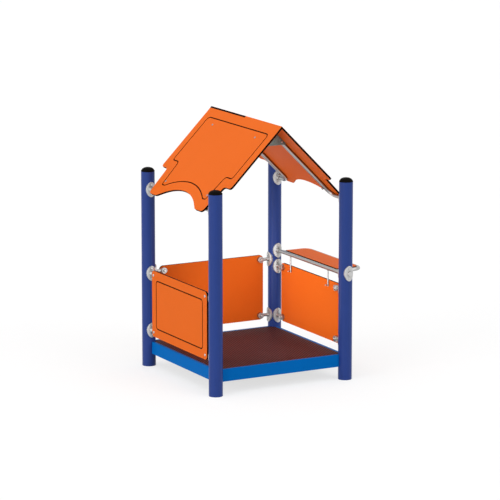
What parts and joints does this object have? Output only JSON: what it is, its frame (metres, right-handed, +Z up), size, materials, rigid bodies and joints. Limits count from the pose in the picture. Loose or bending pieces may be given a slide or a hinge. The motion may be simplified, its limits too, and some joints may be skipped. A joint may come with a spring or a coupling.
{
  "type": "playground playhouse",
  "caption": "Open playhouse on posts with a low deck, panels on the sides, a counter outside one side and a gable roof with arched eaves.",
  "frame": {"origin": "on the ground, midway between the four posts", "axes": "+Z up; -Y out of the entrance, the side with no panel; +X towards the counter; the ridge runs along Y"},
  "size_m": [1.3503, 1.1904, 1.9157],
  "materials": {
    "post": "satin powder coat, dark blue",
    "cap": "moulded, black",
    "rail": "satin powder coat, bright blue",
    "floor": "film-faced board with an anti-slip mesh print, red-brown",
    "board": "orange skins on a black core, fine matte grain",
    "saddle": "cast and tumbled, light grey",
    "tube": "stainless tube, ground",
    "plate": "galvanised sheet",
    "fastener": "stainless, domed heads"
  },
  "bodies": {
    "root": {"counter_board": "board", "counter_frame": "tube", "counter_rod_bolts": "fastener", "counter_rod_front": "tube", "counter_rod_rear": "tube", "counter_screws": "fastener", "counter_strap_front": "tube", "counter_strap_rear": "tube", "deck_bracket_bolts": "fastener", "deck_bracket_front_left": "plate", "deck_bracket_front_right": "plate", "deck_bracket_rear_left": "plate", "deck_bracket_rear_right": "plate", "deck_floor": "floor", "deck_rail_front": "rail", "deck_rail_left": "rail", "deck_rail_rear": "rail", "deck_rail_right": "rail", "gusset_bolts": "fastener", "panel_bolts": "fastener", "panel_left": "board", "panel_rear": "board", "panel_right": "board", "post_cap_front_left": "cap", "post_cap_front_right": "cap", "post_cap_rear_left": "cap", "post_cap_rear_right": "cap", "post_front_left": "post", "post_front_right": "post", "post_rear_left": "post", "post_rear_right": "post", "rafter_front_left": "tube", "rafter_front_right": "tube", "rafter_rear_left": "tube", "rafter_rear_right": "tube", "ridge_gusset_front": "plate", "ridge_gusset_rear": "plate", "roof_board_left": "board", "roof_board_right": "board", "roof_screws": "fastener", "saddle_counter_front": "saddle", "saddle_counter_rear": "saddle", "saddle_left_panel_front_left_lower": "saddle", "saddle_left_panel_front_left_upper": "saddle", "saddle_left_panel_rear_left_lower": "saddle", "saddle_left_panel_rear_left_upper": "saddle", "saddle_rear_panel_rear_left_lower": "saddle", "saddle_rear_panel_rear_left_upper": "saddle", "saddle_rear_panel_rear_right_lower": "saddle", "saddle_rear_panel_rear_right_upper": "saddle", "saddle_right_panel_front_right_lower": "saddle", "saddle_right_panel_front_right_upper": "saddle", "saddle_right_panel_rear_right_lower": "saddle", "saddle_right_panel_rear_right_upper": "saddle", "saddle_roof_front_left": "saddle", "saddle_roof_front_right": "saddle", "saddle_roof_rear_left": "saddle", "saddle_roof_rear_right": "saddle", "saddle_screws": "fastener", "saddle_spare": "saddle"}
  },
  "joints": []
}
